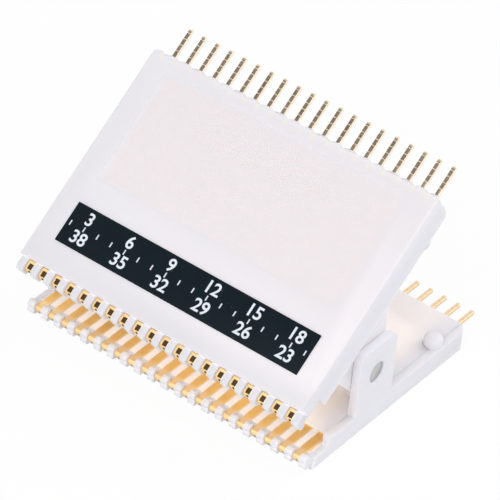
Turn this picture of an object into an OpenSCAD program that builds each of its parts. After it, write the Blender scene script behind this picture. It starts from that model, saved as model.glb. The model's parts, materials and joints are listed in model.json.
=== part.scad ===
// Spring-loaded test clip for a dual in-line integrated circuit.
// Two moulded jaws turn on one steel pin. Each jaw holds a row of gold contacts that reach the leads
// at the tips and leave the handles as square posts. The rest pose has the lower jaw flat on a table.
// Millimetres. X runs along the contact row, Y from the tips to the handles, Z up.
// The origin lies on the table, straight below the middle of the hinge axis.

/* [Contacts] */
// Contacts in each jaw
contact_count = 20; // [10:1:24]
// Distance from one contact to the next
pitch = 2.54; // [2.4:0.01:2.8]
// Width of a contact strip
contact_w = 1.35; // [1.1:0.01:1.4]
// Thickness of a contact strip
contact_t = 0.35; // [0.25:0.01:0.45]
// Height of the hook that a strip forms at the tip
hook_h = 1.17; // [1:0.01:1.4]
// How far the hook stands in front of the jaw's front edge
hook_reach = 1.75; // [1.6:0.05:1.9]
// Width of the pocket pressed into the outside of the hook
pocket_w = 0.75; // [0.4:0.05:0.9]
// Length of that pocket
pocket_len = 0.9; // [0.6:0.05:1]
// Jaw's front edge to that pocket
pocket_gap = 0.5; // [0.3:0.05:0.6]
// Depth of that pocket
pocket_d = 0.1; // [0.05:0.01:0.15]
// Side of a square post
post_side = 0.64; // [0.5:0.01:0.75]
// How far the posts stand out behind the upper handle
post_out = 5.4; // [3:0.1:8]
// How far a post runs inside the upper handle
post_in = 4.4; // [3:0.1:6]
// Length of the bevelled end of a post
post_bevel = 0.2; // [0.1:0.01:0.28]
// Rings scored around each post
score_count = 4; // [0:1:4]
// Distance from one scored ring to the next
score_pitch = 1.07; // [0.9:0.01:1.1]
// Width of a scored ring
score_w = 0.14; // [0.1:0.01:0.4]
// End of a post to the nearest scored ring
score_end = 0.8; // [0.5:0.05:1]
// Depth of a scored ring
score_d = 0.06; // [0.03:0.01:0.1]

/* [Jaws] */
// Hinge axis to the front edge of the outer face
tip_len = 13.3; // [12:0.1:16]
// Hinge axis to the rear edge of the upper handle
handle_len = 23.4; // [22:0.1:28]
// How much longer the lower handle is
lower_extra = 0.6; // [0:0.1:1]
// Thickness of the plate that the strips lie on
base_t = 2.5; // [1.8:0.05:2.9]
// Height of the side rims above the outer face
rim_h = 4.4; // [4:0.1:5]
// Thickness of the side rims
rim_t = 1.3; // [1.1:0.1:1.6]
// Plastic left outside the last contact's slot
end_wall = 1.1; // [0.9:0.05:1.5]
// How much narrower the outer face is on each side
side_draft = 0.5; // [0.4:0.05:1]
// Bevel along the sides of the outer face
edge_bevel = 0.25; // [0.2:0.05:0.6]
// Front edge of the outer face to the front end of the rims
rim_setback = 3; // [2:0.1:4]
// Thickness of the fins between the contacts
fin_t = 1.1; // [1:0.01:1.14]
// How far the fins stand in front of the outer face
fin_reach = 2.1; // [1.8:0.05:2.3]
// Height of the fins
fin_h = 2.25; // [2:0.05:2.5]
// How far the fins stand above the strips
fin_top = 0.6; // [0.4:0.05:0.7]
// Radius of the fins' noses on the outside
nose_r = 0.6; // [0.4:0.05:0.7]
// Radius of the fins' noses on the inside
lip_r = 0.65; // [0.5:0.05:0.75]
// Depth of the waist between the two noses
waist_d = 0.2; // [0.1:0.05:0.3]
// Gap between a strip and the ribs beside it
rib_gap = 0.07; // [0.05:0.01:0.3]
// Radius of the round lobes along the rear edge, one between each two posts
lobe_r = 1.7; // [1.6:0.1:3]
// Thickness of the lobed edge
lobe_t = 1.4; // [1.2:0.1:1.8]
// How far the lobed edge stands out behind the rest of the plate
lobe_out = 0.6; // [0.4:0.1:1]
// Radius of the rear corners, seen from above
corner_r = 2.3; // [1.5:0.1:2.5]
// Radius of the rear edge of the outer face, rounded in three flats
rear_r = 1; // [0.5:0.1:1.3]

/* [Grip panel] */
// Half the width of the sunk grip panel in the outer face
panel_half = 22; // [18:0.1:24]
// Hinge axis to the front of the panel
panel_front = 1.6; // [1:0.1:4]
// Hinge axis to the rear of the panel
panel_rear = 20.7; // [18:0.1:21.5]
// Depth of the panel
panel_d = 0.1; // [0.05:0.01:0.3]

/* [Cover plates] */
// Front edge of the outer face to the front edge of a cover plate
cover_setback = 4.6; // [4.2:0.1:6.5]
// Height of the cover's front lip above the strips
cover_lip = 0.35; // [0.2:0.05:0.6]
// Length of the ramp behind that lip
cover_ramp = 2.6; // [1:0.1:4]
// Gap between a cover and the rims
cover_gap = 0.04; // [0.03:0.01:0.2]
// Gap above and beside a post in its groove
groove_gap = 0.05; // [0.03:0.01:0.1]

/* [Hinge] */
// Height of the hinge axis above the outer face of the lower jaw
lower_hinge_h = 10.55; // [10.3:0.05:13]
// Height of the hinge axis above the outer face of the upper jaw
upper_hinge_h = 13.45; // [12:0.05:15.5]
// How far the upper jaw is set back on the hinge, along its own length
upper_setback = 1.1; // [0:0.05:1.5]
// Angle between the outer faces at rest
rest_angle = 36.6; // [34:0.1:40]
// Diameter of the hinge pin
pin_d = 3.5; // [3:0.1:4]
// How far the pin's ends sit below the ears' faces
pin_recess = 0.3; // [0.1:0.05:0.5]
// Radial gap between the pin and the ears that hold it
pin_seat_gap = 0.02; // [0.01:0.01:0.04]
// Radial running gap between the pin and the turning lugs
pin_run_gap = 0.05; // [0.03:0.01:0.08]
// Half the width of an ear, from front to rear
ear_half = 4.4; // [4:0.1:5]
// Height of an ear's top above the hinge axis
ear_top = 5.15; // [4:0.05:6]
// Radius of an ear's top corners
ear_corner_r = 1.3; // [0.8:0.1:2]
// Thickness of the lugs on the upper jaw
lug_t = 2.4; // [1.8:0.1:3]
// Gap between a lug and the ear beside it
lug_gap = 0.2; // [0.1:0.05:0.4]
// Radius of a lug around the hinge axis
lug_r = 4.4; // [4:0.1:4.6]
// Hinge axis to the front of a lug's foot
lug_front = 5.6; // [5:0.1:6]
// Hinge axis to the rear of a lug's foot
lug_rear = 11; // [8:0.1:12]
// Half the length of the heel that stops the jaws from closing further
heel_half = 1.5; // [1.2:0.1:1.8]
// Gap between the end of the heel and the lower cover
heel_clear = 0.5; // [0.4:0.05:1]
// Gap between the heel and its stop rib at rest
heel_gap = 0.1; // [0.05:0.05:0.2]
// Length of the stop rib
stop_len = 1.5; // [1:0.1:2.5]
// How far the stop rib overlaps the end of the heel
stop_overlap = 0.8; // [0.6:0.1:1]

/* [Cover studs] */
// Radius of the round studs that hold the covers down
stud_r = 1.5; // [1.2:0.1:1.6]
// Jaw's side to the side of a stud
stud_inset = 0.15; // [0.12:0.01:0.3]
// Height of the studs above the outer face
stud_h = 6.2; // [5.8:0.1:6.8]
// Hinge axis to the studs
stud_y = 17.2; // [15:0.1:18.5]
// Radius of the dome on a stud
stud_round = 1; // [0.4:0.1:1.2]
// How far a stud is let into the cover
stud_sink = 0.6; // [0.4:0.1:0.9]
// Gap around a stud in the cover
stud_gap = 0.05; // [0.05:0.05:0.2]

/* [Springs] */
// Diameter of the spring wire
wire_d = 0.9; // [0.6:0.05:1.1]
// Radius of the coils, to the middle of the wire
coil_r = 3.1; // [2.8:0.1:3.4]
// Coils of a spring, counted to the next whole turn
coil_turns = 5; // [3:1:8]
// Gap between neighbouring coils
coil_gap = 0.1; // [0.06:0.02:0.3]
// Slope of a spring's legs against the cover plates
leg_slope = 20; // [15:1:25]
// Gap between a leg's end and its cover plate
leg_gap = 0.05; // [0.03:0.01:0.1]
// Gap between a lug and the spring beside it
spring_gap = 0.8; // [0.3:0.1:3]

/* [Label] */
// Length of the label on the upper jaw
label_len = 44.6; // [30:0.1:48]
// Width of the label
label_w = 6.65; // [4:0.05:7.5]
// Thickness of the label
label_t = 0.12; // [0.05:0.01:0.3]
// Front edge of the outer face to the front edge of the label
label_setback = 4.1; // [3:0.1:5]

/* [Hidden] */
$fn = 48;
row_half = contact_count * pitch / 2;
jaw_half = row_half + end_wall;
face_half = jaw_half - side_draft;
rim_in = jaw_half - rim_t;
cover_half = rim_in - cover_gap;
strip_top = base_t + contact_t;
cover_front = cover_setback - tip_len;
post_start = handle_len - post_in;
post_end = handle_len + post_out;
post_mid = strip_top + post_side / 2;
hook_r = hook_h / 2;
hook_front = -tip_len - hook_reach;
pin_r = pin_d / 2;
lug_out = rim_in - lug_gap;
lug_in = lug_out - lug_t;
stud_x = jaw_half - stud_inset - stud_r;
wire_r = wire_d / 2;
overlap = 0.4;
gold = [0.86, 0.66, 0.30];
plastic = [0.91, 0.91, 0.94];

function contact_x(i) = (i + 0.5) * pitch - row_half;
function two_digits(n) = n < 10 ? str("0", n) : str(n);
function contact_name(jaw, i) = str(jaw, "_contact_", two_digits(i + 1));

// Places a part, drawn as for the lower jaw, on the upper jaw at rest. Left and right change places.
module on_upper() {
    translate([0, 0, lower_hinge_h])
        rotate([rest_angle, 0, 0])
            rotate([0, 180, 0])
                translate([0, upper_setback, -upper_hinge_h])
                    children();
}

// Extrudes an outline drawn in Y and Z along X, from x0 to x1.
module along_x(x0, x1) {
    translate([x0, 0, 0])
        rotate([90, 0, 90])
            linear_extrude(x1 - x0)
                children();
}

// Extrudes an outline drawn in X and Z along Y, from y0 to y1.
module along_y(y0, y1) {
    translate([0, y1, 0])
        rotate([90, 0, 0])
            linear_extrude(y1 - y0)
                children();
}

// A box between two corners.
module box(low, high) {
    translate(low)
        cube(high - low);
}

// Both sides of a jaw.
module both_sides() {
    children();
    mirror([1, 0, 0])
        children();
}

// Cross-section of a jaw: bevelled at the outer face and drafted outwards.
module jaw_section() {
    side = face_half + side_draft * edge_bevel / rim_h;
    polygon([
        [edge_bevel - face_half, 0],
        [face_half - edge_bevel, 0],
        [side, edge_bevel],
        [jaw_half, rim_h],
        [-jaw_half, rim_h],
        [-side, edge_bevel]]);
}

// What is cut away outside the lobes along a handle's rear edge.
module rear_lobes(rear) {
    half = jaw_half + overlap;
    translate([0, 0, -overlap])
        linear_extrude(rim_h + 2 * overlap)
            difference() {
                translate([-half, rear - lobe_r])
                    square([2 * half, lobe_r + 2 * overlap]);
                for (i = [0:contact_count])
                    translate([i * pitch - row_half, rear - lobe_r])
                        circle(r = lobe_r);
            }
}

// What is cut away outside the rounded rear corners.
module rear_corners(rear) {
    side = jaw_half + overlap / 4;
    both_sides()
        translate([0, 0, -overlap])
            difference() {
                box([side - corner_r, rear - corner_r, 0],
                    [side + overlap, rear + 2 * overlap, rim_h + 2 * overlap]);
                translate([side - corner_r, rear - corner_r, -overlap])
                    cylinder(r = corner_r, h = rim_h + 4 * overlap);
            }
}

// What is cut away outside the rounded rear edge of the outer face.
module rear_edge(rear) {
    start = rear - rear_r;
    out = 2 * overlap;
    steep = out / tan(15);
    along_x(-jaw_half - overlap, jaw_half + overlap)
        polygon(concat(
            [[rear + out, rear_r + steep]],
            [for (a = [30, 60]) [start + rear_r * cos(a), rear_r - rear_r * sin(a)]],
            [[start - steep, -out], [rear + out, -out]]));
}

// The plate with a rim along each side, which stops short of the front. Room is left behind it for the lobes.
module plate_and_rims(rear) {
    top = rim_h + overlap;
    front = -tip_len - overlap;
    behind = rear + 2 * overlap;
    difference() {
        along_y(-tip_len, rear + overlap)
            jaw_section();
        box([-rim_in, front, base_t], [rim_in, behind, top]);
        box([-rim_in, rear - lobe_out, lobe_t], [rim_in, behind, top]);
        box([-jaw_half - overlap, front, base_t], [jaw_half + overlap, rim_setback - tip_len, top]);
    }
}

// Side outline of a fin: a nose towards the outer face, a larger one on the inside and a waist between.
module fin_outline() {
    front = -tip_len - fin_reach;
    rear = overlap - tip_len;
    lip_z = strip_top + fin_top - lip_r;
    low = strip_top + fin_top - fin_h;
    nose_z = low + nose_r;
    translate([front + nose_r, nose_z])
        circle(r = nose_r);
    translate([front + nose_r, low])
        square([rear - front - nose_r, nose_r]);
    translate([front + lip_r, lip_z])
        circle(r = lip_r);
    translate([front + waist_d, nose_z])
        square([rear - front - waist_d, lip_z - nose_z]);
}

// Fins between the contacts, out to the sides at both ends.
module fins() {
    for (i = [0:contact_count])
        along_x(i == 0 ? -face_half : i * pitch - row_half - fin_t / 2,
                i == contact_count ? face_half : i * pitch - row_half + fin_t / 2)
            fin_outline();
}

// Low ribs that keep the strips apart, flush with them.
module strip_ribs() {
    half = (pitch - contact_w) / 2 - rib_gap;
    for (i = [1:contact_count - 1])
        box([i * pitch - row_half - half, overlap / 2 - tip_len, base_t - overlap],
            [i * pitch - row_half + half, post_start - overlap, strip_top]);
}

// Bar at the rear that the posts lie on.
module post_bar(rear) {
    half = rim_in + overlap;
    box([-half, post_start + contact_t, base_t - overlap], [half, rear - lobe_out, strip_top]);
}

// Round stud with a domed edge, standing on the rim and over the cover's edge.
module cover_stud() {
    translate([stud_x, stud_y, rim_h - stud_sink])
        rotate_extrude() {
            square([stud_r, stud_h - rim_h + stud_sink - stud_round]);
            square([stud_r - stud_round, stud_h - rim_h + stud_sink]);
            translate([stud_r - stud_round, stud_h - rim_h + stud_sink - stud_round])
                intersection() {
                    circle(r = stud_round);
                    square(stud_round);
                }
        }
}

// The moulded shell of a jaw, up to the rear edge of its handle.
module jaw_shell(rear) {
    difference() {
        union() {
            plate_and_rims(rear);
            strip_ribs();
            post_bar(rear);
        }
        rear_lobes(rear);
        rear_corners(rear);
        rear_edge(rear);
        box([-panel_half, panel_front, -overlap], [panel_half, panel_rear, panel_d]);
    }
    fins();
    both_sides()
        cover_stud();
}

// Outline of an ear: upright, with a flat top and two round corners.
module ear_outline() {
    top = lower_hinge_h + ear_top;
    corner = ear_half - ear_corner_r;
    foot = rim_h - overlap;
    translate([-ear_half, foot])
        square([2 * ear_half, top - ear_corner_r - foot]);
    translate([-corner, foot])
        square([2 * corner, top - foot]);
    for (side = [-1, 1])
        translate([side * corner, top - ear_corner_r])
            circle(r = ear_corner_r);
}

// A bore along the hinge axis, between two places on X.
module hinge_bore(radius, x0, x1) {
    translate([x0, 0, lower_hinge_h])
        rotate([0, 90, 0])
            cylinder(r = radius, h = x1 - x0);
}

// Lower jaw: the shell with an ear on each rim that holds the hinge pin.
module lower_jaw() {
    color(plastic) {
        jaw_shell(handle_len + lower_extra);
        both_sides()
            difference() {
                along_x(rim_in, jaw_half)
                    ear_outline();
                hinge_bore(pin_r + pin_seat_gap, rim_in - overlap, jaw_half + overlap);
            }
    }
}

// Upper jaw: the plain shell.
module upper_jaw() {
    color(plastic)
        on_upper()
            jaw_shell(handle_len);
}

// Side outline of a cover: a lip over the strips, a ramp and a flat back.
module cover_outline(rear) {
    polygon([
        [cover_front, strip_top],
        [rear, strip_top],
        [rear, rim_h],
        [cover_front + cover_ramp, rim_h],
        [cover_front, strip_top + cover_lip]]);
}

// Grooves in a cover's underside for the posts and the ends of the strips.
module post_grooves(rear) {
    half = post_side / 2 + groove_gap;
    for (i = [0:contact_count - 1])
        box([contact_x(i) - half, post_start - groove_gap, strip_top - overlap],
            [contact_x(i) + half, rear + overlap, strip_top + post_side + groove_gap]);
}

// The plate that a jaw holds its strips down with, up to its rear edge.
module cover_plate(rear) {
    difference() {
        along_x(-cover_half, cover_half)
            cover_outline(rear);
        post_grooves(rear);
        both_sides()
            translate([stud_x, stud_y, rim_h - stud_sink])
                cylinder(r = stud_r + stud_gap, h = stud_sink + overlap);
    }
}

// Rib on the lower cover that the heel of a lug meets at rest.
module stop_rib() {
    box([lug_in, heel_half + heel_gap, rim_h - overlap],
        [lug_out, heel_half + heel_gap + stop_len, rim_h + heel_clear + stop_overlap]);
}

// Lower cover, with a stop rib beside each ear.
module lower_cover() {
    color(plastic) {
        cover_plate(handle_len + lower_extra);
        both_sides()
            stop_rib();
    }
}

// Outline of a lug: a foot in the cover that runs up to a bored eye at the hinge, and a heel that points
// straight down at rest.
module lug_outline() {
    foot = rim_h - 2 * overlap - upper_hinge_h;
    translate([-upper_setback, upper_hinge_h])
        difference() {
            union() {
                polygon([[-lug_front, foot], [lug_rear, foot], [lug_r, 0], [-lug_r, 0]]);
                circle(r = lug_r);
                rotate(rest_angle)
                    translate([-heel_half, 0])
                        square([2 * heel_half, lower_hinge_h - rim_h - heel_clear]);
            }
            circle(r = pin_r + pin_run_gap);
        }
}

// Upper cover, with the two lugs that turn on the pin.
module upper_cover() {
    color(plastic)
        on_upper() {
            cover_plate(handle_len - lobe_out);
            both_sides()
                along_x(lug_in, lug_out)
                    lug_outline();
        }
}

// Steel pin through the ears and the lugs.
module hinge_pin() {
    color([0.75, 0.75, 0.77])
        hinge_bore(pin_r, pin_recess - jaw_half, jaw_half - pin_recess);
}

// Bent strip of one contact: a flat run with a hook around the jaw's front edge.
module contact_strip() {
    hook_y = hook_front + hook_r;
    hook_z = strip_top - hook_r;
    difference() {
        along_x(-contact_w / 2, contact_w / 2) {
            translate([hook_y, base_t])
                square([post_start + contact_t - hook_y, contact_t]);
            translate([hook_y, strip_top - hook_h])
                square([-tip_len - groove_gap - hook_y, contact_t]);
            translate([hook_y, hook_z])
                difference() {
                    circle(r = hook_r);
                    circle(r = hook_r - contact_t);
                    translate([0, -hook_h])
                        square(2 * hook_h);
                }
        }
        box([-pocket_w / 2, -tip_len - pocket_gap - pocket_len, strip_top - hook_h - overlap],
            [pocket_w / 2, -tip_len - pocket_gap, strip_top - hook_h + pocket_d]);
    }
}

// Outline of a post along Y: scored rings and a bevelled end.
module post_outline() {
    half = post_side / 2;
    first = post_end - score_end - score_count * score_pitch;
    side = concat(
        [[post_start, half]],
        [for (i = [1:score_count]) for (p = [[-score_w / 2, 0], [0, score_d], [score_w / 2, 0]])
            [first + i * score_pitch + p[0], half - p[1]]],
        [[post_end - post_bevel, half], [post_end, half - post_bevel]]);
    last = len(side) - 1;
    polygon(concat(side, [for (i = [0:last]) [side[last - i][0], -side[last - i][1]]]));
}

// Square post, scored on all four sides.
module contact_post() {
    half = post_side / 2;
    translate([0, 0, post_mid])
        intersection() {
            along_x(-half, half)
                post_outline();
            translate([0, 0, -half])
                linear_extrude(post_side)
                    rotate(90)
                        mirror([0, 1])
                            post_outline();
        }
    box([-half, post_start, base_t], [half, post_start + contact_t, post_mid]);
}

// One whole contact at a place along X.
module contact(x) {
    color(gold)
        translate([x, 0, 0]) {
            contact_strip();
            contact_post();
        }
}

// Torsion spring around the hinge axis: two legs that press the handles apart and a coil between them.
// Angles are measured around the axis, from the rear towards the top.
function leg_len(hinge_h) =
    (hinge_h - rim_h - wire_r - leg_gap - coil_r * cos(leg_slope)) / sin(leg_slope);
function coil_point(a) = coil_r * [cos(a), sin(a)];
function leg_end(a, length) = coil_point(a) + length * [-sin(a), cos(a)];

// Sides of the wire and steps in one turn of the coil.
wire_sides = 10;
turn_steps = 20;

function spring_path() =
    let (
        first = -90 - leg_slope,
        last = rest_angle - first - 360 * coil_turns,
        steps = ceil((first - last) / 360 * turn_steps),
        advance = (wire_d + coil_gap) / 360,
        half = (first - last) * advance / 2,
        coil = [for (i = [0:steps])
            let (a = first + (last - first) * i / steps)
            [(first - a) * advance - half, coil_point(a)[0], coil_point(a)[1]]])
    concat(
        [concat(-half, leg_end(first, leg_len(lower_hinge_h)))],
        coil,
        [concat(half, leg_end(last, -leg_len(upper_hinge_h)))]);
function spring_half() =
    (-90 - leg_slope - (rest_angle + 90 + leg_slope - 360 * coil_turns)) * (wire_d + coil_gap) / 720 + wire_r;

function unit(v) = v / norm(v);
function tangent(path, i) = unit(path[min(i + 1, len(path) - 1)] - path[max(i - 1, 0)]);
function ring(path, i) =
    let (
        t = tangent(path, i),
        u = unit([1, 0, 0] - t[0] * t),
        v = cross(t, u))
    [for (k = [0:wire_sides - 1])
        path[i] + wire_r * (cos(360 * k / wire_sides) * u + sin(360 * k / wire_sides) * v)];

module torsion_spring() {
    path = spring_path();
    rings = len(path);
    points = [for (i = [0:rings - 1]) each ring(path, i)];
    sides = [for (i = [0:rings - 2]) for (k = [0:wire_sides - 1])
        let (next = (k + 1) % wire_sides)
        [i * wire_sides + k, i * wire_sides + next, (i + 1) * wire_sides + next, (i + 1) * wire_sides + k]];
    start = [for (k = [0:wire_sides - 1]) wire_sides - 1 - k];
    end = [for (k = [0:wire_sides - 1]) (rings - 1) * wire_sides + k];
    color([0.70, 0.71, 0.73])
        translate([0, 0, lower_hinge_h])
            polyhedron(points = points, faces = concat([start], sides, [end]));
}

// A spring beside the left or the right lug.
module placed_spring(side) {
    translate([side * (lug_in - spring_gap - spring_half()), 0, 0])
        torsion_spring();
}

// Dark label on the upper jaw's outer face.
module label() {
    color([0.08, 0.11, 0.14])
        on_upper()
            box([-label_len / 2, label_setback - tip_len, -label_t],
                [label_len / 2, label_setback - tip_len + label_w, 0]);
}

lower_jaw();
lower_cover();
upper_jaw();
upper_cover();
hinge_pin();
placed_spring(-1);  // spring_left
placed_spring(1);  // spring_right
label();
for (i = [0:contact_count - 1])
    contact(contact_x(i));
for (i = [0:contact_count - 1])
    on_upper() contact(-contact_x(i));
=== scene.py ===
import json
import math

import bmesh
import bpy
from mathutils import Euler, Matrix, Vector

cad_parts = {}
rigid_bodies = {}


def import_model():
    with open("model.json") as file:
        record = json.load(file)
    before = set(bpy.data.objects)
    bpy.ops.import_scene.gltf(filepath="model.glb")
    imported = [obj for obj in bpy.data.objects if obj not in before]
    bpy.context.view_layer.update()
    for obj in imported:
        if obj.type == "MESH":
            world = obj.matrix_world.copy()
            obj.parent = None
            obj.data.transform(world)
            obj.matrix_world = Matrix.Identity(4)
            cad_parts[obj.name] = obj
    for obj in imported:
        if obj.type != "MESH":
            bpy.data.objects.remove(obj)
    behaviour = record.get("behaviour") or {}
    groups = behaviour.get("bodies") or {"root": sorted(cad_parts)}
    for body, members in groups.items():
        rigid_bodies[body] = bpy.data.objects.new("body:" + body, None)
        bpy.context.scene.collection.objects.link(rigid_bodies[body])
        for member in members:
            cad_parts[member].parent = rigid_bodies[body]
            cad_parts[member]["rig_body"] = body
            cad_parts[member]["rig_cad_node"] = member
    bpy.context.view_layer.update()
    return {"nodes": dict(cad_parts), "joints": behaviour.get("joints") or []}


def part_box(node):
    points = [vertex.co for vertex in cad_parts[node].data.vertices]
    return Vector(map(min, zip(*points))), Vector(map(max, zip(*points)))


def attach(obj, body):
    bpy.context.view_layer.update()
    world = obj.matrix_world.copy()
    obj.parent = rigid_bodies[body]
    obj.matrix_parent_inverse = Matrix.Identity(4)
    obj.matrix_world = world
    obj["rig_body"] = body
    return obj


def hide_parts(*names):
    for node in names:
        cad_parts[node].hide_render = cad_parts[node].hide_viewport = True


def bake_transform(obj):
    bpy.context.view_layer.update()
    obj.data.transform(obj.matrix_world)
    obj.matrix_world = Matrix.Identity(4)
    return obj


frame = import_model()

bl_info = {
    "name": "Test Clip Finish",
    "version": (1, 0, 0),
    "blender": (4, 5, 0),
    "location": "View3D > Sidebar > Test Clip",
    "description": "Finishes a spring-loaded test clip for dual in-line circuits and sets its stage",
    "category": "Object",
}

# Lengths in this script are metres. MM turns the millimetres of a drawing into metres.
MM = 0.001
HINGE = frame["joints"][0]
HINGE_Z = HINGE["pos_m"][2]
LOWER, UPPER = HINGE["parent"], HINGE["child"]
# Corners closer than MERGE become one corner, and faces that turn by less than FLAT become one face.
MERGE = 0.001 * MM
FLAT = math.radians(0.5)
# An edge is rounded when it turns by SHARP or more and the faces beside it have room. Such a face is at
# least ROOM roundings wide, and no corner of it comes within CORNER_ROOM roundings of the edge.
SHARP = math.radians(32.0)
ROOM = 3.0
CORNER_ROOM = 1.2
# Height of a numeral as a share of the letter size.
NUMERAL_SHARE = 0.7
# Sides of the spring wire and steps in each of its coils.
WIRE_SIDES = 12
COIL_STEPS = 24
BLACK = (0.0, 0.0, 0.0)


def length(name, text, default, **more):
    """A length that a user can change."""
    return bpy.props.FloatProperty(
        name=name, description=text, default=default, unit="LENGTH", subtype="DISTANCE", precision=5, **more)


def colour(name, text, default):
    """A linear colour that a user can change."""
    return bpy.props.FloatVectorProperty(
        name=name, description=text, default=default, size=3, min=0.0, max=1.0, subtype="COLOR")


def number(name, text, default, **more):
    """A plain number that a user can change."""
    return bpy.props.FloatProperty(name=name, description=text, default=default, **more)


def location(name, text, default):
    """A place that a user can change."""
    return bpy.props.FloatVectorProperty(
        name=name, description=text, default=default, unit="LENGTH", subtype="TRANSLATION")


def angle(name, text, degrees):
    """An angle that a user can change."""
    return bpy.props.FloatProperty(
        name=name, description=text, default=math.radians(degrees), unit="ROTATION", subtype="ANGLE")


class ClipSizes(bpy.types.PropertyGroup):
    """Sizes of the clip that its finish depends on."""

    upper_hinge_h: length("Upper hinge height", "Upper jaw's outer face to the hinge axis", 13.45 * MM)
    upper_setback: length("Upper setback", "How far the upper jaw is set back on the hinge", 1.1 * MM)
    rest_angle: angle("Rest angle", "Angle between the outer faces at rest", 36.6)
    pitch: length("Contact pitch", "Distance from one contact to the next", 2.54 * MM)
    contact_count: bpy.props.IntProperty(name="Contacts", description="Contacts in each jaw", default=20)
    tip_len: length("Tip length", "Hinge line to the front edge of the plates", 13.4 * MM)
    rim_in: length("Rim side", "Middle to the inner side of a rim", 25.2 * MM)
    strip_top: length("Strip height", "Outer face to the inner side of the contact strips", 2.85 * MM)
    rim_h: length("Rim height", "Outer face to the top of the rims and covers", 4.4 * MM)
    shell_round: length("Shell rounding", "Rounding of the moulded edges", 0.2 * MM)
    cover_round: length("Cover rounding", "Rounding of the cover plates' edges", 0.06 * MM)
    contact_round: length("Contact rounding", "Rounding of the contacts' edges", 0.03 * MM)
    pin_round: length("Pin rounding", "Rounding of the hinge pin's ends", 0.15 * MM)
    label_round: length("Label rounding", "Rounding of the label's edges", 0.03 * MM)
    panel_half: length("Panel half width", "Middle to the side of the textured grip panel", 22.0 * MM)
    panel_front: length("Panel front", "Hinge line to the front of the grip panel", 1.6 * MM)
    panel_rear: length("Panel rear", "Hinge line to the rear of the grip panel", 20.7 * MM)
    knurl: length("Panel texture pitch", "Distance between the panel's diagonal grooves", 0.64 * MM)
    panel_fade: length("Panel fade", "Width over which the grip panel fades out", 0.8 * MM)
    spot_place: length("Spot place", "Hinge line to the spots over the ends of the strips", 22.3 * MM)
    pocket_half: length("Pocket half width", "Half the width of the dark pocket in a hook", 0.38 * MM)
    pocket_front: length("Pocket front", "Hinge line to the front of the pocket", 14.7 * MM)
    pocket_rear: length("Pocket rear", "Hinge line to the rear of the pocket", 13.8 * MM)
    dot_front: length("Dot place", "Hinge line to the dark dot below the pocket", 14.95 * MM)
    dot_h: length("Dot height", "Outer face to the dark dot", 2.0 * MM)
    dot_aside: length("Dot offset", "Middle of a hook to its dark dot", 0.15 * MM)
    post_foot: length("Post foot", "Hinge line to the start of the paler posts", 22.6 * MM)
    ring_pitch: length("Ring pitch", "Distance between the turned rings on the pin's ends", 0.16 * MM)
    wire_d: length("Wire diameter", "Diameter of the spring wire", 0.9 * MM)
    wire_round: length("Wire rounding", "Rounding of the spring wire's ends", 0.08 * MM)
    coil_r: length("Coil radius", "Hinge axis to the middle of the spring wire", 3.1 * MM)
    coil_turns: bpy.props.IntProperty(
        name="Coil turns", description="Coils of a spring, counted to the next whole turn", default=5)
    coil_gap: length("Coil gap", "Gap between neighbouring coils", 0.1 * MM)
    leg_slope: angle("Leg slope", "Slope of the spring legs against the covers", 20.0)
    leg_gap: length("Leg gap", "Gap between a leg's end and its cover plate", 0.05 * MM)
    label_front: length("Label front", "Hinge line to the front edge of the label", -9.2 * MM)
    label_w: length("Label width", "Width of the label", 6.65 * MM)
    label_t: length("Label thickness", "Thickness of the label", 0.12 * MM)
    tick_half: length("Tick half width", "Half the width of a tick on the label", 0.11 * MM)
    tick_reach: length("Tick reach", "Middle of the label to the end of a tick", 0.4 * MM)
    numeral_h: length("Numeral height", "Height of the numerals on the label", 1.95 * MM)
    numeral_bold: length("Numeral boldness", "How much the numerals are thickened", 0.05 * MM)
    numeral_step: bpy.props.IntProperty(
        name="Numeral step", description="Contacts from one numeral to the next", default=3)
    rear_line: number("Rear line", "Place of the rear numerals as a share of the label's width", 0.74)
    front_line: number("Front line", "Place of the front numerals as a share of the label's width", 0.26)
    ink_t: length("Ink thickness", "Thickness of the print on the label", 0.01 * MM)


class ClipColours(bpy.types.PropertyGroup):
    """Colours of the clip's materials."""

    nylon: colour("Nylon", "Moulded plastic", (0.83, 0.83, 0.875))
    panel: colour("Panel", "Textured grip panel", (0.87, 0.81, 0.82))
    # Painted glow: the colour of painted warm light of gold through thin plastic, in base colours and in
    # emission.
    glow: colour("Glow", "Plastic with gold shining through", (0.97, 0.87, 0.79))
    spot: colour("Spot", "Thin plastic over the ends of the strips", (0.93, 0.88, 0.72))
    gold: colour("Gold", "Plated contacts", (0.90, 0.57, 0.18))
    # Pale gold: the upper posts' own paler plating, and the colour of painted highlights on the hooks and
    # strip edges.
    pale_gold: colour("Pale gold", "Thin plating on the upper posts and the hook edges", (1.0, 0.91, 0.76))
    dull_gold: colour("Dull gold", "Worn plating on the lower posts", (0.85, 0.66, 0.46))
    # Painted shade: the dark colour put into the hook pockets and their dots.
    tarnish: colour("Tarnish", "Dark gold in the hook pockets", (0.045, 0.026, 0.014))
    steel: colour("Steel", "Hinge pin", (0.58, 0.58, 0.60))
    wire: colour("Wire", "Spring wire", (0.42, 0.42, 0.44))
    film: colour("Film", "Label film", (0.006, 0.012, 0.017))
    ink: colour("Ink", "Print on the label", (0.78, 0.82, 0.88))


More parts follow.
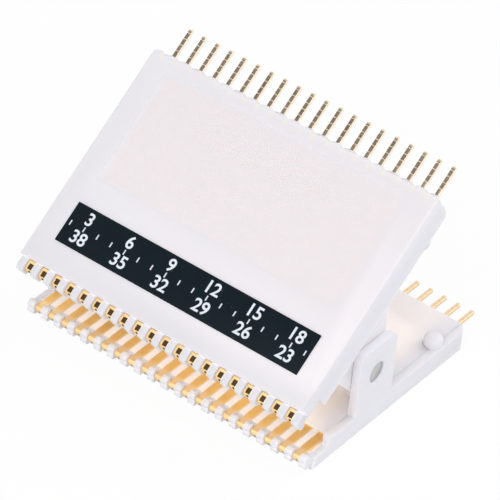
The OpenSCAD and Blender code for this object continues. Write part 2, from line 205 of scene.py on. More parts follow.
class ClipStage(bpy.types.PropertyGroup):
    """Camera and light."""

    azimuth: angle("Azimuth", "Camera's direction around the clip", 34.371)
    elevation: angle("Elevation", "Camera's height above the horizon", 38.334)
    roll: angle("Roll", "Camera's turn about its own axis", 5.732)
    distance: length("Distance", "Camera to target", 576.33 * MM)
    target: location("Target", "Point in the middle of the picture", (-0.559 * MM, 4.21 * MM, 15.662 * MM))
    sensor: number("Sensor", "Width of the camera's sensor in millimetres", 36.0)
    lens: number("Lens", "Focal length in millimetres", 282.63)
    world_level: number("World level", "Light from all around", 0.55, min=0.0)
    world_tint: colour("World colour", "Colour of the light from all around", (0.96, 0.97, 1.0))
    front_level: number("Front level", "Light of the large lamp left of the camera", 0.46, min=0.0)
    front_place: location("Front place", "Middle of the large lamp left of the camera", (0.12, -0.62, 0.47))
    front_size: length("Front size", "Side of the large lamp left of the camera", 0.5)
    front_tint: colour("Front colour", "Colour of the large lamp left of the camera", (1.0, 0.985, 0.97))
    rear_level: number("Rear level", "Light of the large lamp behind the clip", 0.32, min=0.0)
    rear_place: location("Rear place", "Middle of the large lamp behind the clip", (0.25, 0.62, 0.52))
    rear_size: length("Rear size", "Side of the large lamp behind the clip", 0.55)
    rear_tint: colour("Rear colour", "Colour of the large lamp behind the clip", (1.0, 0.98, 0.96))
    edge_level: number("Edge level", "Light of the small lamp on the right", 0.06, min=0.0)
    edge_place: location("Edge place", "Middle of the small lamp on the right", (0.69, -0.11, 0.36))
    edge_size: length("Edge size", "Side of the small lamp on the right", 0.16)
    edge_tint: colour("Edge colour", "Colour of the small lamp on the right", (0.94, 0.96, 1.0))
    floor_size: length("Floor size", "Side of the floor", 4.0)
    floor_drop: length("Floor drop", "How far the floor lies below the clip", 0.02 * MM)
    floor_tint: colour("Floor colour", "Colour of the floor", (0.93, 0.93, 0.94))
    floor_white: number(
        "Floor white", "Share of plain white that the camera sees in the floor", 0.94, min=0.0, max=1.0)
    flag_over: location(
        "Flag over", "Place among the upper posts that the dark card lies over", (0.0, 19.5 * MM, 34.0 * MM))
    flag_way: bpy.props.FloatVectorProperty(
        name="Flag way", description="Direction in which the upper posts reflect the camera",
        default=(-0.443, -0.407, 0.799), subtype="XYZ")
    flag_far: length("Flag distance", "Upper posts to the dark card", 0.14)
    flag_w: length("Flag width", "Width of the dark card along the row", 0.13)
    flag_h: length("Flag height", "Height of the dark card", 0.05)
    flag_tint: colour("Flag colour", "Colour of the dark card", (0.085, 0.042, 0.024))


class Socket:
    """A value in a material that can be used in Python expressions."""

    def __init__(self, shader, output):
        self.shader = shader
        self.output = output

    def math(self, operation, *others):
        return self.shader.add("ShaderNodeMath", {"operation": operation}, dict(enumerate((self, *others))))

    def __add__(self, other):
        return self.math("ADD", other)

    def __radd__(self, other):
        return self.math("ADD", other)

    def __sub__(self, other):
        return self.math("SUBTRACT", other)

    def __rsub__(self, other):
        return self.shader.add("ShaderNodeMath", {"operation": "SUBTRACT"}, {0: other, 1: self})

    def __mul__(self, other):
        return self.math("MULTIPLY", other)

    def __abs__(self):
        return self.math("ABSOLUTE")

    def ramp(self, low, high):
        """0 up to low, 1 from high on, and smooth in between. High may be the smaller one."""
        inputs = {"Value": self, "From Min": low, "From Max": high}
        return self.shader.add("ShaderNodeMapRange", {"interpolation_type": "SMOOTHSTEP"}, inputs)

    def in_cell(self, spacing):
        """Place from the middle of the cell it lies in, in a row of cells."""
        return self.math("FLOORED_MODULO", spacing) - spacing / 2


class Shader:
    """The nodes of a material or a world, made by calls."""

    def __init__(self, owner):
        owner.use_nodes = True
        self.owner = owner
        self.nodes = owner.node_tree.nodes
        self.surface = self.nodes.get("Principled BSDF") or self.nodes["Background"]
        self.end = self.nodes.get("Material Output") or self.nodes["World Output"]

    def add(self, kind, settings=None, inputs=None, output=0):
        node = self.nodes.new(kind)
        for key, value in (settings or {}).items():
            setattr(node, key, value)
        for key, value in (inputs or {}).items():
            self.join(node, key, value)
        return Socket(self, node.outputs[output])

    def join(self, node, key, value):
        if isinstance(value, Socket):
            self.owner.node_tree.links.new(value.output, node.inputs[key])
        else:
            node.inputs[key].default_value = value

    def mix(self, factor, first, second):
        """A colour between two others. A plain colour is a tuple."""
        ends = [c if isinstance(c, Socket) else (*c, 1.0) for c in (first, second)]
        return self.add("ShaderNodeMix", {"data_type": "RGBA"}, {0: factor, 6: ends[0], 7: ends[1]}, 2)

    def noise(self, vector, scale, detail=2.0):
        return self.add("ShaderNodeTexNoise", None, {"Vector": vector, "Scale": scale, "Detail": detail})

    def stretched(self, vector, scale):
        return self.add("ShaderNodeMapping", None, {"Vector": vector, "Scale": scale})

    def split(self, vector):
        return [self.add("ShaderNodeSeparateXYZ", None, {0: vector}, axis) for axis in range(3)]

    def bump(self, height, distance, strength):
        inputs = {"Height": height, "Distance": distance, "Strength": strength}
        return self.add("ShaderNodeBump", None, inputs)

    def finish(self, **inputs):
        """Sets the surface's sockets, named with underscores, and returns the material."""
        for key, value in inputs.items():
            if key.endswith("Color") and not isinstance(value, Socket):
                value = (*value, 1.0)
            self.join(self.surface, key.replace("_", " "), value)
        return self.owner

    def seen_white(self, share):
        """Mixes in plain white where the camera, a reflection or a see-through ray meets this surface."""
        rays = ("Camera", "Glossy", "Transmission")
        camera, glossy, through = (self.add("ShaderNodeLightPath", output=f"Is {ray} Ray") for ray in rays)
        seen = camera.math("MAXIMUM", glossy).math("MAXIMUM", through)
        kind = "ShaderNodeBackground" if isinstance(self.owner, bpy.types.World) else "ShaderNodeEmission"
        white = self.add(kind, None, {"Color": (1.0, 1.0, 1.0, 1.0), "Strength": 1.0})
        plain = Socket(self, self.surface.outputs[0])
        both = self.add("ShaderNodeMixShader", None, {0: seen * share, 1: plain, 2: white})
        self.join(self.end, "Surface", both)


class Finish(Shader):
    """A new material that reads places on the object."""

    def __init__(self, name):
        super().__init__(bpy.data.materials.new(name))
        self.place = self.add("ShaderNodeTexCoord", output="Object")


def upper_face():
    """Turns a place on the upper jaw's outer face, with Z outwards, into the frame."""
    sizes = bpy.context.scene.clip_sizes
    on_hinge = Matrix.Translation((0.0, sizes.upper_setback, sizes.upper_hinge_h))
    return Matrix.Translation((0.0, 0.0, HINGE_Z)) @ Matrix.Rotation(sizes.rest_angle, 4, "X") @ on_hinge


def jaw_place(shader, body):
    """The place on a jaw: X along the row, Y from the tips to the handle, Z inwards from the outer face."""
    if body == LOWER:
        return shader.place
    sizes = bpy.context.scene.clip_sizes
    across = HINGE_Z * math.sin(sizes.rest_angle) + sizes.upper_setback
    inwards = HINGE_Z * math.cos(sizes.rest_angle) + sizes.upper_hinge_h
    inputs = {
        "Vector": shader.place,
        "Rotation": (-sizes.rest_angle, math.pi, 0.0),
        "Location": (0.0, -across, inwards),
    }
    return shader.add("ShaderNodeMapping", None, inputs)


def shell_nylon(body):
    """Moulded nylon of a jaw: satin borders, a diamond texture on the panel, a painted warm glow on the ribs
    beside the strips, painted shade toward the tips and on the upper fins, and painted light from emission on
    the ribs, the front wall and by the ear.
    """
    sizes, colours = bpy.context.scene.clip_sizes, bpy.context.scene.clip_colours
    shader = Finish(f"{body}_shell_nylon")
    place = jaw_place(shader, body)
    x, y, z = shader.split(place)
    row_half = sizes.contact_count * sizes.pitch / 2
    behind_tip = y + sizes.tip_len
    in_row = abs(x).ramp(row_half, row_half - 0.5 * MM)
    panel = (
        abs(x).ramp(sizes.panel_half, sizes.panel_half - sizes.panel_fade)
        * y.ramp(sizes.panel_front, sizes.panel_front + sizes.panel_fade)
        * y.ramp(sizes.panel_rear, sizes.panel_rear - sizes.panel_fade)
        * z.ramp(0.3 * MM, 0.2 * MM))
    # Ribs beside the strips: the mask for a painted warm glow of gold light, in the colour and in the
    # emission.
    rib_glow = (
        in_row
        * behind_tip.ramp(0.0, 0.2 * MM)
        * y.ramp(12.0 * MM, 10.0 * MM)
        * z.ramp(sizes.strip_top - 0.6 * MM, sizes.strip_top - 0.4 * MM)
        * z.ramp(sizes.strip_top + 0.9 * MM, sizes.strip_top + 0.7 * MM))
    # Painted light: emission lifts the shaded front wall of the plate.
    glow_on_front_wall = (
        behind_tip.ramp(-0.2 * MM, 0.05 * MM)
        * behind_tip.ramp(0.4 * MM, 0.2 * MM)
        * z.ramp(0.1 * MM, 0.4 * MM)
        * z.ramp(1.9 * MM, 1.5 * MM))
    # Painted light: emission lifts the shade in the gap beside the ear.
    glow_by_ear = y.ramp(-9.0 * MM, -8.0 * MM) * y.ramp(12.0 * MM, 11.0 * MM)
    over_rim = z - sizes.rim_h
    if body == UPPER:
        glow_by_ear = glow_by_ear * over_rim.ramp(-0.2 * MM, -0.05 * MM)
    else:
        inside = abs(x).ramp(sizes.rim_in + 0.15 * MM, sizes.rim_in)
        glow_by_ear = glow_by_ear * over_rim.ramp(0.1 * MM, 0.4 * MM) * inside
    beside, behind = abs(x.in_cell(sizes.pitch)), y - sizes.spot_place
    spots = (beside * beside + behind * behind).math("SQRT").ramp(0.75 * MM, 0.15 * MM) * in_row
    cloud = shader.noise(place, 160.0, 3.0)
    flow = shader.noise(shader.stretched(place, (60.0, 260.0, 260.0)), 1.0, 4.0)
    to_right = shader.split(shader.place)[0]
    face = z.ramp(0.6 * MM, 0.3 * MM)
    pink = face * (0.2 + to_right.ramp(-24.0 * MM, 20.0 * MM) * 0.35)
    tint = shader.mix(pink.math("MAXIMUM", panel * 0.85) + cloud * 0.15, colours.nylon, colours.panel)
    # Painted glow: the ribs take the warm colour of gold light shining through the plastic.
    tint = shader.mix(rib_glow * 0.8, tint, colours.glow)
    tint = shader.mix(spots * 0.32, tint, colours.spot)
    tint = shader.mix(flow.ramp(0.35, 0.75) * 0.05, tint, tuple(0.9 * c for c in colours.nylon))
    # Painted shade: the outer face is darker toward the tips and to the right, and on the upper jaw the fins
    # are darker.
    shade = behind_tip.ramp(5.4 * MM, 0.4 * MM) * to_right.ramp(-24.0 * MM, 8.0 * MM) * face * 0.6
    if body == UPPER:
        fins = behind_tip.ramp(0.2 * MM, -0.1 * MM)
        shade = shade.math("MAXIMUM", fins * 0.5)
    tint = shader.mix(shade, tint, tuple(0.8 * c for c in colours.nylon))
    turn = 2 * math.pi / sizes.knurl
    knurl = ((x + y) * turn).math("SINE") * ((x - y) * turn).math("SINE") * panel
    grain = shader.noise(place, 5200.0, 2.0)
    height = knurl * 0.7 + grain * (0.08 + panel * 0.2) + flow * 0.1
    # Painted light: emission on the ribs, the front wall and by the ear stands in for light that these shaded
    # places lack.
    painted_light = rib_glow * 0.5 + glow_on_front_wall * 0.5 + glow_by_ear * 0.4
    return shader.finish(
        Base_Color=tint,
        Roughness=0.42 + panel * 0.12 + (cloud - 0.5) * 0.12,
        Normal=shader.bump(height, 0.03 * MM, 0.8),
        Subsurface_Weight=0.3,
        Subsurface_Radius=(1.0, 0.85, 0.75),
        Subsurface_Scale=1.2 * MM,
        Emission_Color=shader.mix(painted_light, BLACK, colours.glow),
        Emission_Strength=0.25,
        Specular_IOR_Level=0.42)


def cover_nylon(body):
    """Nylon of a cover plate, with a painted warm glow of gold light through the thin plastic over the
    strips, and painted light from emission over the strips and by the ear.
    """
    sizes, colours = bpy.context.scene.clip_sizes, bpy.context.scene.clip_colours
    shader = Finish(f"{body}_cover_nylon")
    place = jaw_place(shader, body)
    x, y, z = shader.split(place)
    cloud = shader.noise(place, 190.0, 3.0)
    over_rim = z - sizes.rim_h
    from_rim = sizes.rim_in - abs(x)
    over_strips = from_rim.ramp(0.2 * MM, 5.2 * MM) * over_rim.ramp(1.2 * MM, 0.1 * MM)
    # Painted glow: the plastic over the strips takes the warm colour of gold light shining through it, more
    # toward the hinge.
    painted_warmth = over_strips * (0.35 + y.ramp(21.0 * MM, 8.0 * MM) * 0.45) + 0.08
    tint = shader.mix(painted_warmth + (cloud - 0.5) * 0.1, colours.nylon, colours.glow)
    # Painted light: emission lifts the shade in the gap by the ear and over the strips, fading toward the
    # rear.
    glow_by_ear = from_rim.ramp(0.4 * MM, 0.25 * MM) * over_rim.ramp(0.1 * MM, 0.4 * MM)
    painted_light = (over_strips * y.ramp(34.0 * MM, 8.0 * MM)).math("MAXIMUM", glow_by_ear * 0.25)
    flow = shader.noise(shader.stretched(place, (70.0, 280.0, 280.0)), 1.0, 4.0)
    grain = shader.noise(place, 4800.0, 2.0)
    return shader.finish(
        Base_Color=tint,
        Roughness=0.44 + (cloud - 0.5) * 0.14,
        Normal=shader.bump(grain * 0.2 + flow * 0.3, 0.018 * MM, 0.8),
        Subsurface_Weight=0.35,
        Subsurface_Radius=(1.0, 0.8, 0.65),
        Subsurface_Scale=1.4 * MM,
        Emission_Color=shader.mix(painted_light, BLACK, colours.glow),
        Emission_Strength=0.22,
        Specular_IOR_Level=0.42)


def contact_gold(body):
    """Gold plating: streaked strips, paler posts, painted highlights on the hooks and strip edges, and
    painted shade in a pocket and a dot on the outside of each hook.
    """
    sizes, colours = bpy.context.scene.clip_sizes, bpy.context.scene.clip_colours
    shader = Finish(f"{body}_contact_gold")
    place = jaw_place(shader, body)
    x, y, z = shader.split(place)
    beside = abs(x.in_cell(sizes.pitch))
    to_right = shader.split(shader.place)[0].in_cell(sizes.pitch)
    behind_tip = y + sizes.tip_len
    edge = 0.03 * MM
    # Painted shade: the hook's pocket, a shallow recess, is painted dark.
    pocket = (
        beside.ramp(sizes.pocket_half + edge, sizes.pocket_half - edge)
        * y.ramp(-sizes.pocket_front - edge, -sizes.pocket_front + edge)
        * y.ramp(-sizes.pocket_rear + edge, -sizes.pocket_rear - edge)
        * z.ramp(1.84 * MM, 1.80 * MM))
    # Painted shadow: a dark dot at the front of the hook, right of its middle.
    aside, ahead, up = to_right - sizes.dot_aside, y + sizes.dot_front, z - sizes.dot_h
    dot = (aside * aside + ahead * ahead + up * up).math("SQRT").ramp(0.24 * MM, 0.16 * MM)
    # Painted highlight: a cream stripe on the hook pad, right of the pocket.
    hook_glint = (
        to_right.ramp(sizes.pocket_half, sizes.pocket_half + 0.04 * MM)
        * behind_tip.ramp(0.1 * MM, 0.0)
        * z.ramp(sizes.strip_top - 0.3 * MM, sizes.strip_top - 0.5 * MM))
    # Painted sheen: the bend of each hook is paler.
    hook = behind_tip.ramp(0.8 * MM, -0.2 * MM)
    # Painted highlight: a pale line along the right edge of each strip.
    strip_glint = to_right.ramp(0.48 * MM, 0.58 * MM) * y.ramp(0.0, -2.0 * MM)
    posts = y.ramp(sizes.post_foot, sizes.post_foot + 0.2 * MM)
    streak = shader.noise(shader.stretched(place, (9000.0, 500.0, 9000.0)), 1.0, 3.0)
    cloud = shader.noise(place, 420.0, 3.0)
    pale = tuple(min(1.0, c * 1.06 + 0.03) for c in colours.gold)
    tint = shader.mix(cloud.ramp(0.3, 0.7) * 0.6, colours.gold, pale)
    tint = shader.mix(streak.ramp(0.62, 0.8) * 0.12, tint, tuple(c * 0.85 for c in colours.gold))
    # Painted sheen on the hook bends and painted highlights on the strips' right edges and the hook pads.
    tint = shader.mix(hook * 0.3 + strip_glint * 0.4, tint, colours.pale_gold)
    tint = shader.mix(hook_glint * 0.9, tint, colours.pale_gold)
    # The posts' own paler plating.
    tint = shader.mix(posts * 0.9, tint, colours.pale_gold if body == UPPER else colours.dull_gold)
    # Painted shade: the pocket and the dot take the dark colour.
    tint = shader.mix(pocket.math("MAXIMUM", dot) * 0.95, tint, colours.tarnish)
    return shader.finish(
        Base_Color=tint,
        Metallic=1.0,
        Roughness=0.44 - posts * 0.26 + cloud * 0.08 + streak * 0.05,
        Normal=shader.bump(streak + cloud * 0.5, 0.0015 * MM, 0.5))


def pin_steel():
    """Turned steel: rings on the ends, drawn streaks along the length."""
    sizes, colours = bpy.context.scene.clip_sizes, bpy.context.scene.clip_colours
    shader = Finish("pin_steel")
    _, y, z = shader.split(shader.place)
    above = z - HINGE_Z
    radius = (y * y + above * above).math("SQRT")
    rings = (radius * (2 * math.pi / sizes.ring_pitch)).math("SINE")
    streak = shader.noise(shader.stretched(shader.place, (180.0, 5200.0, 5200.0)), 1.0, 3.0)
    cloud = shader.noise(shader.place, 700.0, 3.0)
    tint = shader.mix(cloud.ramp(0.3, 0.75) * 0.5, colours.steel, tuple(c * 0.82 for c in colours.steel))
    return shader.finish(
        Base_Color=tint,
        Metallic=1.0,
        Roughness=0.3 + cloud * 0.12 + streak * 0.08,
        Normal=shader.bump(rings * 0.4 + streak, 0.006 * MM, 0.6))


def spring_wire():
    """Drawn spring wire with a faint oil stain."""
    colours = bpy.context.scene.clip_colours
    shader = Finish("spring_wire")
    cloud = shader.noise(shader.place, 900.0, 4.0)
    draw = shader.noise(shader.stretched(shader.place, (7000.0, 900.0, 900.0)), 1.0, 3.0)
    tint = shader.mix(cloud.ramp(0.4, 0.7) * 0.5, colours.wire, tuple(c * 0.7 for c in colours.wire))
    return shader.finish(
        Base_Color=tint,
        Metallic=1.0,
        Roughness=0.26 + cloud * 0.15,
        Normal=shader.bump(draw, 0.006 * MM, 0.6))


def label_film():
    """Dark film with a printed tick at each contact, dust specks and fine scratches."""
    sizes, colours = bpy.context.scene.clip_sizes, bpy.context.scene.clip_colours
    shader = Finish("label_film")
    place = jaw_place(shader, UPPER)
    x, y, _ = shader.split(place)
    off_middle = abs(y - sizes.label_front - sizes.label_w / 2)
    edge = 0.02 * MM
    tick = (
        abs(x.in_cell(sizes.pitch)).ramp(sizes.tick_half + edge, sizes.tick_half - edge)
        * off_middle.ramp(sizes.tick_reach + edge, sizes.tick_reach - edge))
    speck = shader.add("ShaderNodeTexVoronoi", None, {"Vector": place, "Scale": 900.0})
    dust = speck.ramp(0.06, 0.03) * shader.noise(place, 500.0).ramp(0.52, 0.6)
    scratch = shader.noise(shader.stretched(place, (2200.0, 160.0, 160.0)), 1.0, 1.0).ramp(0.76, 0.8)
    haze = shader.noise(place, 240.0, 4.0)
    tint = shader.mix(haze.ramp(0.35, 0.8) * 0.4, colours.film, tuple(c * 1.5 for c in colours.film))
    tint = shader.mix(dust * 0.2 + scratch * 0.06, tint, colours.ink)
    tint = shader.mix(tick * 0.92, tint, colours.ink)
    return shader.finish(
        Base_Color=tint,
        Roughness=0.42 + haze * 0.12 + scratch * 0.06,
        Normal=shader.bump(haze + scratch * 0.4, 0.006 * MM, 0.4),
        Specular_IOR_Level=0.07)


def print_ink():
    """Pale screen print with thin spots."""
    colours = bpy.context.scene.clip_colours
    shader = Finish("print_ink")
    cloud = shader.noise(shader.place, 1500.0, 4.0)
    tint = shader.mix(cloud.ramp(0.45, 0.8) * 0.22, colours.ink, tuple(c * 0.55 for c in colours.ink))
    return shader.finish(
        Base_Color=tint,
        Roughness=0.5 + cloud * 0.12,
        Normal=shader.bump(cloud, 0.004 * MM, 0.5))


def select_only(piece):
    """Makes one object the selected and active one."""
    bpy.ops.object.select_all(action="DESELECT")
    piece.select_set(True)
    bpy.context.view_layer.objects.active = piece


def apply_modifier(piece, name, kind, **settings):
    """Adds a modifier to a piece and applies it."""
    select_only(piece)
    modifier = piece.modifiers.new(name, kind)
    for key, value in settings.items():
        setattr(modifier, key, value)
    bpy.ops.object.modifier_apply(modifier=name)


def weigh_edges(piece, rounding):
    """Marks the outward edges that have room for their rounding."""
    shape = bmesh.new()
    shape.from_mesh(piece.data)
    weight = shape.edges.layers.float.new("bevel_weight_edge")
    for edge in shape.edges:
        if not edge.is_manifold or not edge.is_convex or edge.calc_face_angle() < SHARP:
            continue
        if all(has_room(edge, face, rounding) for face in edge.link_faces):
            edge[weight] = 1.0
    shape.to_mesh(piece.data)
    shape.free()


def has_room(edge, face, rounding):
    """Whether a face beside an edge is wide enough for the edge's rounding, all the way along."""
    if face.calc_area() < ROOM * rounding * edge.calc_length():
        return False
    start, along = edge.verts[0].co, edge.verts[1].co - edge.verts[0].co
    for corner in face.verts:
        share = (corner.co - start).dot(along) / along.length_squared
        off_edge = (corner.co - start - share * along).length
        if 0.01 < share < 0.99 and off_edge < CORNER_ROOM * rounding:
            return False
    return True


def finished_copy(node, rounding, material, smooth_angle=38.0):
    """A copy of a CAD node with clean faces and rounded edges, which stands for the node."""
    source = frame["nodes"][node]
    select_only(source)
    bpy.ops.object.duplicate()
    piece = bpy.context.view_layer.objects.active
    piece.name = piece.data.name = f"{node}_finish"
    bpy.ops.object.parent_clear(type="CLEAR_KEEP_TRANSFORM")
    body = piece["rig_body"]
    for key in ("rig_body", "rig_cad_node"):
        del piece[key]
    bpy.ops.mesh.customdata_custom_splitnormals_clear()
    bpy.ops.object.mode_set(mode="EDIT")
    bpy.ops.mesh.select_all(action="SELECT")
    bpy.ops.mesh.remove_doubles(threshold=MERGE)
    bpy.ops.mesh.dissolve_limited(angle_limit=FLAT)
    bpy.ops.object.mode_set(mode="OBJECT")
    weigh_edges(piece, rounding)
    apply_modifier(
        piece, "Rounding", "BEVEL", width=rounding, segments=2, limit_method="WEIGHT",
        use_clamp_overlap=True, miter_outer="MITER_ARC")
    bpy.ops.object.shade_smooth_by_angle(angle=math.radians(smooth_angle))
    dress(piece, body, material)
    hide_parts(node)


def dress(piece, body, material):
    """Gives a piece its material and body."""
    piece.data.materials.clear()
    piece.data.materials.append(material)
    if body:
        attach(piece, body)


class CLIP_OT_jaws(bpy.types.Operator):
    """Rounds the edges of the two jaw shells and gives them their moulded nylon"""

    bl_idname = "clip.jaws"
    bl_label = "Finish Jaws"

    def execute(self, context):
        rounding = context.scene.clip_sizes.shell_round
        finished_copy("lower_jaw", rounding, shell_nylon(LOWER))
        finished_copy("upper_jaw", rounding, shell_nylon(UPPER))
        return {"FINISHED"}


class CLIP_OT_covers(bpy.types.Operator):
    """Rounds the edges of the two cover plates and gives them their nylon with its painted warm glow"""

    bl_idname = "clip.covers"
    bl_label = "Finish Covers"

    def execute(self, context):
        rounding = context.scene.clip_sizes.cover_round
        finished_copy("lower_cover", rounding, cover_nylon(LOWER))
        finished_copy("upper_cover", rounding, cover_nylon(UPPER))
        return {"FINISHED"}


class CLIP_OT_contacts(bpy.types.Operator):
    """Rounds the edges of all contacts and plates them with gold"""

    bl_idname = "clip.contacts"
    bl_label = "Finish Contacts"

    def execute(self, context):
        sizes = context.scene.clip_sizes
        for jaw, body in (("lower", LOWER), ("upper", UPPER)):
            gold = contact_gold(body)
            for number_in_row in range(1, sizes.contact_count + 1):
                node = f"{jaw}_contact_{number_in_row:02d}"
                finished_copy(node, sizes.contact_round, gold, smooth_angle=20.0)
        return {"FINISHED"}


class CLIP_OT_pin(bpy.types.Operator):
    """Rounds the ends of the hinge pin and gives it turned steel"""

    bl_idname = "clip.pin"
    bl_label = "Finish Hinge Pin"

    def execute(self, context):
        finished_copy("hinge_pin", context.scene.clip_sizes.pin_round, pin_steel())
        return {"FINISHED"}


class CLIP_OT_label(bpy.types.Operator):
    """Finishes the label film and prints the contact numbers on it"""

    bl_idname = "clip.label"
    bl_label = "Finish Label"

    def execute(self, context):
        sizes = context.scene.clip_sizes
        finished_copy("label", sizes.label_round, label_film())
        numerals = []
        for number_in_row in range(sizes.numeral_step, sizes.contact_count + 1, sizes.numeral_step):
            across = (number_in_row - 0.5 - sizes.contact_count / 2) * sizes.pitch
            opposite = 2 * sizes.contact_count + 1 - number_in_row
            numerals.append(self.add_numeral(context, str(number_in_row), across, sizes.rear_line))
            numerals.append(self.add_numeral(context, str(opposite), across, sizes.front_line))
        bpy.ops.object.select_all(action="DESELECT")
        for numeral in numerals:
            numeral.select_set(True)
        context.view_layer.objects.active = numerals[0]
        bpy.ops.object.join()
        numerals[0].name = numerals[0].data.name = "label_numerals"
        dress(numerals[0], UPPER, print_ink())
        return {"FINISHED"}

    def add_numeral(self, context, text, across, share):
        """A flat numeral on the label, at a place along the row and a share of the label's width."""
        sizes = context.scene.clip_sizes
        bpy.ops.object.select_all(action="DESELECT")
        bpy.ops.object.text_add()
        letters = context.view_layer.objects.active.data
        letters.body = text
        letters.size = sizes.numeral_h / NUMERAL_SHARE
        letters.align_x, letters.align_y = "CENTER", "CENTER"
        letters.offset = sizes.numeral_bold
        letters.extrude = sizes.ink_t
        bpy.ops.object.convert(target="MESH")
        numeral = context.view_layer.objects.active
        place = (across, sizes.label_front + share * sizes.label_w, sizes.label_t)
        numeral.matrix_world = upper_face() @ Matrix.Translation(place)
        bpy.ops.object.transform_apply(location=True, rotation=True, scale=True)
        bpy.ops.object.mode_set(mode="EDIT")
        bpy.ops.mesh.select_all(action="SELECT")
        bpy.ops.mesh.remove_doubles(threshold=MERGE / 2)
        bpy.ops.object.mode_set(mode="OBJECT")
        return numeral


class CLIP_OT_springs(bpy.types.Operator):
    """Winds the two torsion springs on the hinge pin, each with a leg on both covers"""

    bl_idname = "clip.springs"
    bl_label = "Wind Springs"

    def execute(self, context):
        wire = spring_wire()
        for node in ("spring_left", "spring_right"):
            self.wind(context.scene.clip_sizes, node, wire)
        return {"FINISHED"}

    def wind(self, sizes, node, wire):
        """Winds a wire's round section about the hinge axis and draws out a straight leg at both ends."""
        low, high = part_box(node)
        middle = (low[0] + high[0]) / 2
        first = -math.pi / 2 - sizes.leg_slope
        last = sizes.rest_angle - first - 2 * math.pi * sizes.coil_turns
        half = (first - last) / (4 * math.pi) * (sizes.wire_d + sizes.coil_gap)
        start = (-half, sizes.coil_r * math.cos(first), sizes.coil_r * math.sin(first))
        bpy.ops.object.select_all(action="DESELECT")
        bpy.ops.mesh.primitive_circle_add(
            vertices=WIRE_SIDES, radius=sizes.wire_d / 2, location=start, rotation=(first, 0.0, 0.0))
        spring = bpy.context.view_layer.objects.active
        spring.name = spring.data.name = f"{node}_wire"
        bpy.ops.object.transform_apply(location=True, rotation=True, scale=True)
        steps = COIL_STEPS * sizes.coil_turns
        apply_modifier(
            spring, "Coil", "SCREW", axis="X", angle=last - first, screw_offset=2 * half, steps=steps,
            render_steps=steps, use_merge_vertices=False)
        self.draw_leg(spring, -1, first, self.leg_length(sizes, HINGE_Z))
        self.draw_leg(spring, 1, last, -self.leg_length(sizes, sizes.upper_hinge_h))
        bpy.ops.object.mode_set(mode="EDIT")
        bpy.ops.mesh.select_all(action="SELECT")
        bpy.ops.mesh.normals_make_consistent(inside=False)
        bpy.ops.object.mode_set(mode="OBJECT")
        apply_modifier(
            spring, "Ends", "BEVEL", width=sizes.wire_round, segments=2, limit_method="ANGLE",
            angle_limit=math.radians(60.0))
        bpy.ops.object.shade_smooth_by_angle(angle=math.radians(40.0))
        spring.location = (middle, 0.0, HINGE_Z)
        bpy.ops.object.transform_apply(location=True, rotation=True, scale=True)
        dress(spring, None, wire)
        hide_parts(node)
        reach = half - sizes.wire_d / 2
        middle - reach
        middle + reach
        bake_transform(spring)

    def leg_length(self, sizes, hinge_h):
        """Length of the leg that reaches the cover of a jaw whose outer face lies this far from the hinge."""
        from_cover = sizes.rim_h + sizes.wire_d / 2 + sizes.leg_gap
        rise = hinge_h - from_cover - sizes.coil_r * math.cos(sizes.leg_slope)
        return rise / math.sin(sizes.leg_slope)

    def draw_leg(self, spring, side, turn, reach):
        """Draws the wire's open end on one side straight out and closes it."""
        select_only(spring)
        bpy.ops.object.mode_set(mode="EDIT")
        bpy.ops.mesh.select_mode(type="VERT")
        bpy.ops.mesh.select_all(action="DESELECT")
        bpy.ops.mesh.select_non_manifold()
        bpy.ops.object.mode_set(mode="OBJECT")
        for corner in spring.data.vertices:
            corner.select = corner.select and corner.co.x * side > 0.0
        bpy.ops.object.mode_set(mode="EDIT")
        way = (0.0, -reach * math.sin(turn), reach * math.cos(turn))
        bpy.ops.mesh.extrude_region_move(TRANSFORM_OT_translate={"value": way})
        bpy.ops.mesh.edge_face_add()
        bpy.ops.object.mode_set(mode="OBJECT")


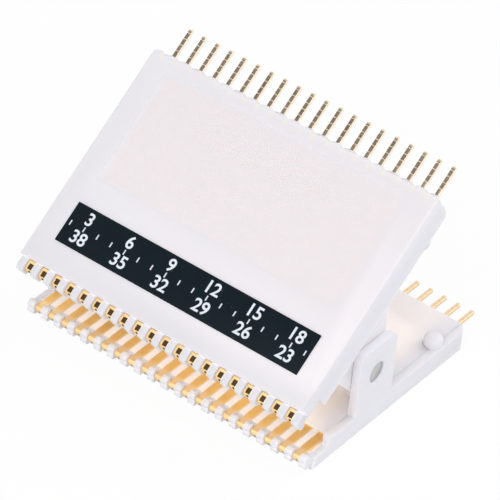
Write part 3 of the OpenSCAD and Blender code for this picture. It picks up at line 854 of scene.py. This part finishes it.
class CLIP_OT_stage(bpy.types.Operator):
    """Sets the camera, the lamps, the floor and the white surroundings"""

    bl_idname = "clip.stage"
    bl_label = "Set Stage"

    def execute(self, context):
        stage = context.scene.clip_stage
        context.scene.view_settings.view_transform = "Standard"
        self.add_camera(context, stage)
        self.light_world(context, stage)
        for name in ("front", "rear", "edge"):
            self.add_lamp(stage, name)
        self.add_floor(stage)
        self.add_flag(context, stage)
        return {"FINISHED"}

    def add_camera(self, context, stage):
        turn = Euler((math.pi / 2 - stage.elevation, 0.0, stage.azimuth)).to_matrix()
        turn = turn @ Matrix.Rotation(stage.roll, 3, "Z")
        away = turn @ Vector((0.0, 0.0, stage.distance))
        bpy.ops.object.camera_add(location=Vector(stage.target) + away, rotation=turn.to_euler())
        camera = context.view_layer.objects.active
        camera.name = "photo_camera"
        camera.data.lens = stage.lens
        camera.data.sensor_width = stage.sensor
        context.scene.camera = camera

    def light_world(self, context, stage):
        """Even light from all around, seen as plain white."""
        context.scene.world = bpy.data.worlds.new("studio")
        shader = Shader(context.scene.world)
        shader.finish(Color=stage.world_tint, Strength=stage.world_level)
        shader.seen_white(1.0)

    def add_lamp(self, stage, name):
        """A square lamp that faces the clip. At a level of 1, a white face turned to it renders white."""
        place = Vector(getattr(stage, f"{name}_place"))
        turn = (-place).to_track_quat("-Z", "Y").to_euler()
        bpy.ops.object.light_add(type="AREA", location=place, rotation=turn)
        lamp = bpy.context.view_layer.objects.active
        lamp.name = f"{name}_lamp"
        lamp.data.size = getattr(stage, f"{name}_size")
        lamp.data.energy = getattr(stage, f"{name}_level") * math.pi ** 2 * place.length_squared
        lamp.data.color = getattr(stage, f"{name}_tint")

    def add_floor(self, stage):
        """A pale floor that keeps the clip's shadow."""
        bpy.ops.object.select_all(action="DESELECT")
        bpy.ops.mesh.primitive_plane_add(size=stage.floor_size, location=(0.0, 0.0, -stage.floor_drop))
        floor = bpy.context.view_layer.objects.active
        floor.name = "studio_floor"
        shader = Finish("studio_floor")
        floor.data.materials.append(
            shader.finish(Base_Color=stage.floor_tint, Roughness=0.9, Specular_IOR_Level=0.1))
        shader.seen_white(stage.floor_white)

    def add_flag(self, context, stage):
        """A dark card that only reflections show, above the posts of the upper jaw."""
        place = Vector(stage.flag_over) + stage.flag_far * Vector(stage.flag_way)
        turn = (context.scene.clip_sizes.rest_angle, 0.0, 0.0)
        bpy.ops.object.select_all(action="DESELECT")
        bpy.ops.mesh.primitive_plane_add(size=1.0, location=place, rotation=turn)
        flag = context.view_layer.objects.active
        flag.name = "dark_flag"
        flag.scale = (stage.flag_w, stage.flag_h, 1.0)
        shader = Finish("dark_flag")
        flag.data.materials.append(
            shader.finish(Base_Color=stage.flag_tint, Roughness=1.0, Specular_IOR_Level=0.0))
        flag.visible_camera = False
        flag.visible_diffuse = False
        flag.visible_shadow = False
        flag.visible_transmission = False


class CLIP_PT_panel(bpy.types.Panel):
    """Lists the clip's sizes, colours and steps"""

    bl_idname = "CLIP_PT_panel"
    bl_label = "Test Clip"
    bl_space_type = "VIEW_3D"
    bl_region_type = "UI"
    bl_category = "Test Clip"

    def draw(self, context):
        layout = self.layout
        for operator in OPERATORS:
            layout.operator(operator.bl_idname)
        for group in (context.scene.clip_sizes, context.scene.clip_colours, context.scene.clip_stage):
            box = layout.box()
            for key in group.__annotations__:
                box.prop(group, key)


OPERATORS = (
    CLIP_OT_jaws,
    CLIP_OT_covers,
    CLIP_OT_contacts,
    CLIP_OT_pin,
    CLIP_OT_label,
    CLIP_OT_springs,
    CLIP_OT_stage,
)
GROUPS = {"clip_sizes": ClipSizes, "clip_colours": ClipColours, "clip_stage": ClipStage}


def register():
    for cls in (*GROUPS.values(), *OPERATORS, CLIP_PT_panel):
        bpy.utils.register_class(cls)
    for name, group in GROUPS.items():
        setattr(bpy.types.Scene, name, bpy.props.PointerProperty(type=group))


def unregister():
    for name in GROUPS:
        delattr(bpy.types.Scene, name)
    for cls in reversed((*GROUPS.values(), *OPERATORS, CLIP_PT_panel)):
        bpy.utils.unregister_class(cls)


def main():
    register()
    bpy.ops.clip.jaws()
    bpy.ops.clip.covers()
    bpy.ops.clip.contacts()
    bpy.ops.clip.pin()
    bpy.ops.clip.label()
    bpy.ops.clip.springs()
    bpy.ops.clip.stage()


if __name__ == "__main__":
    main()
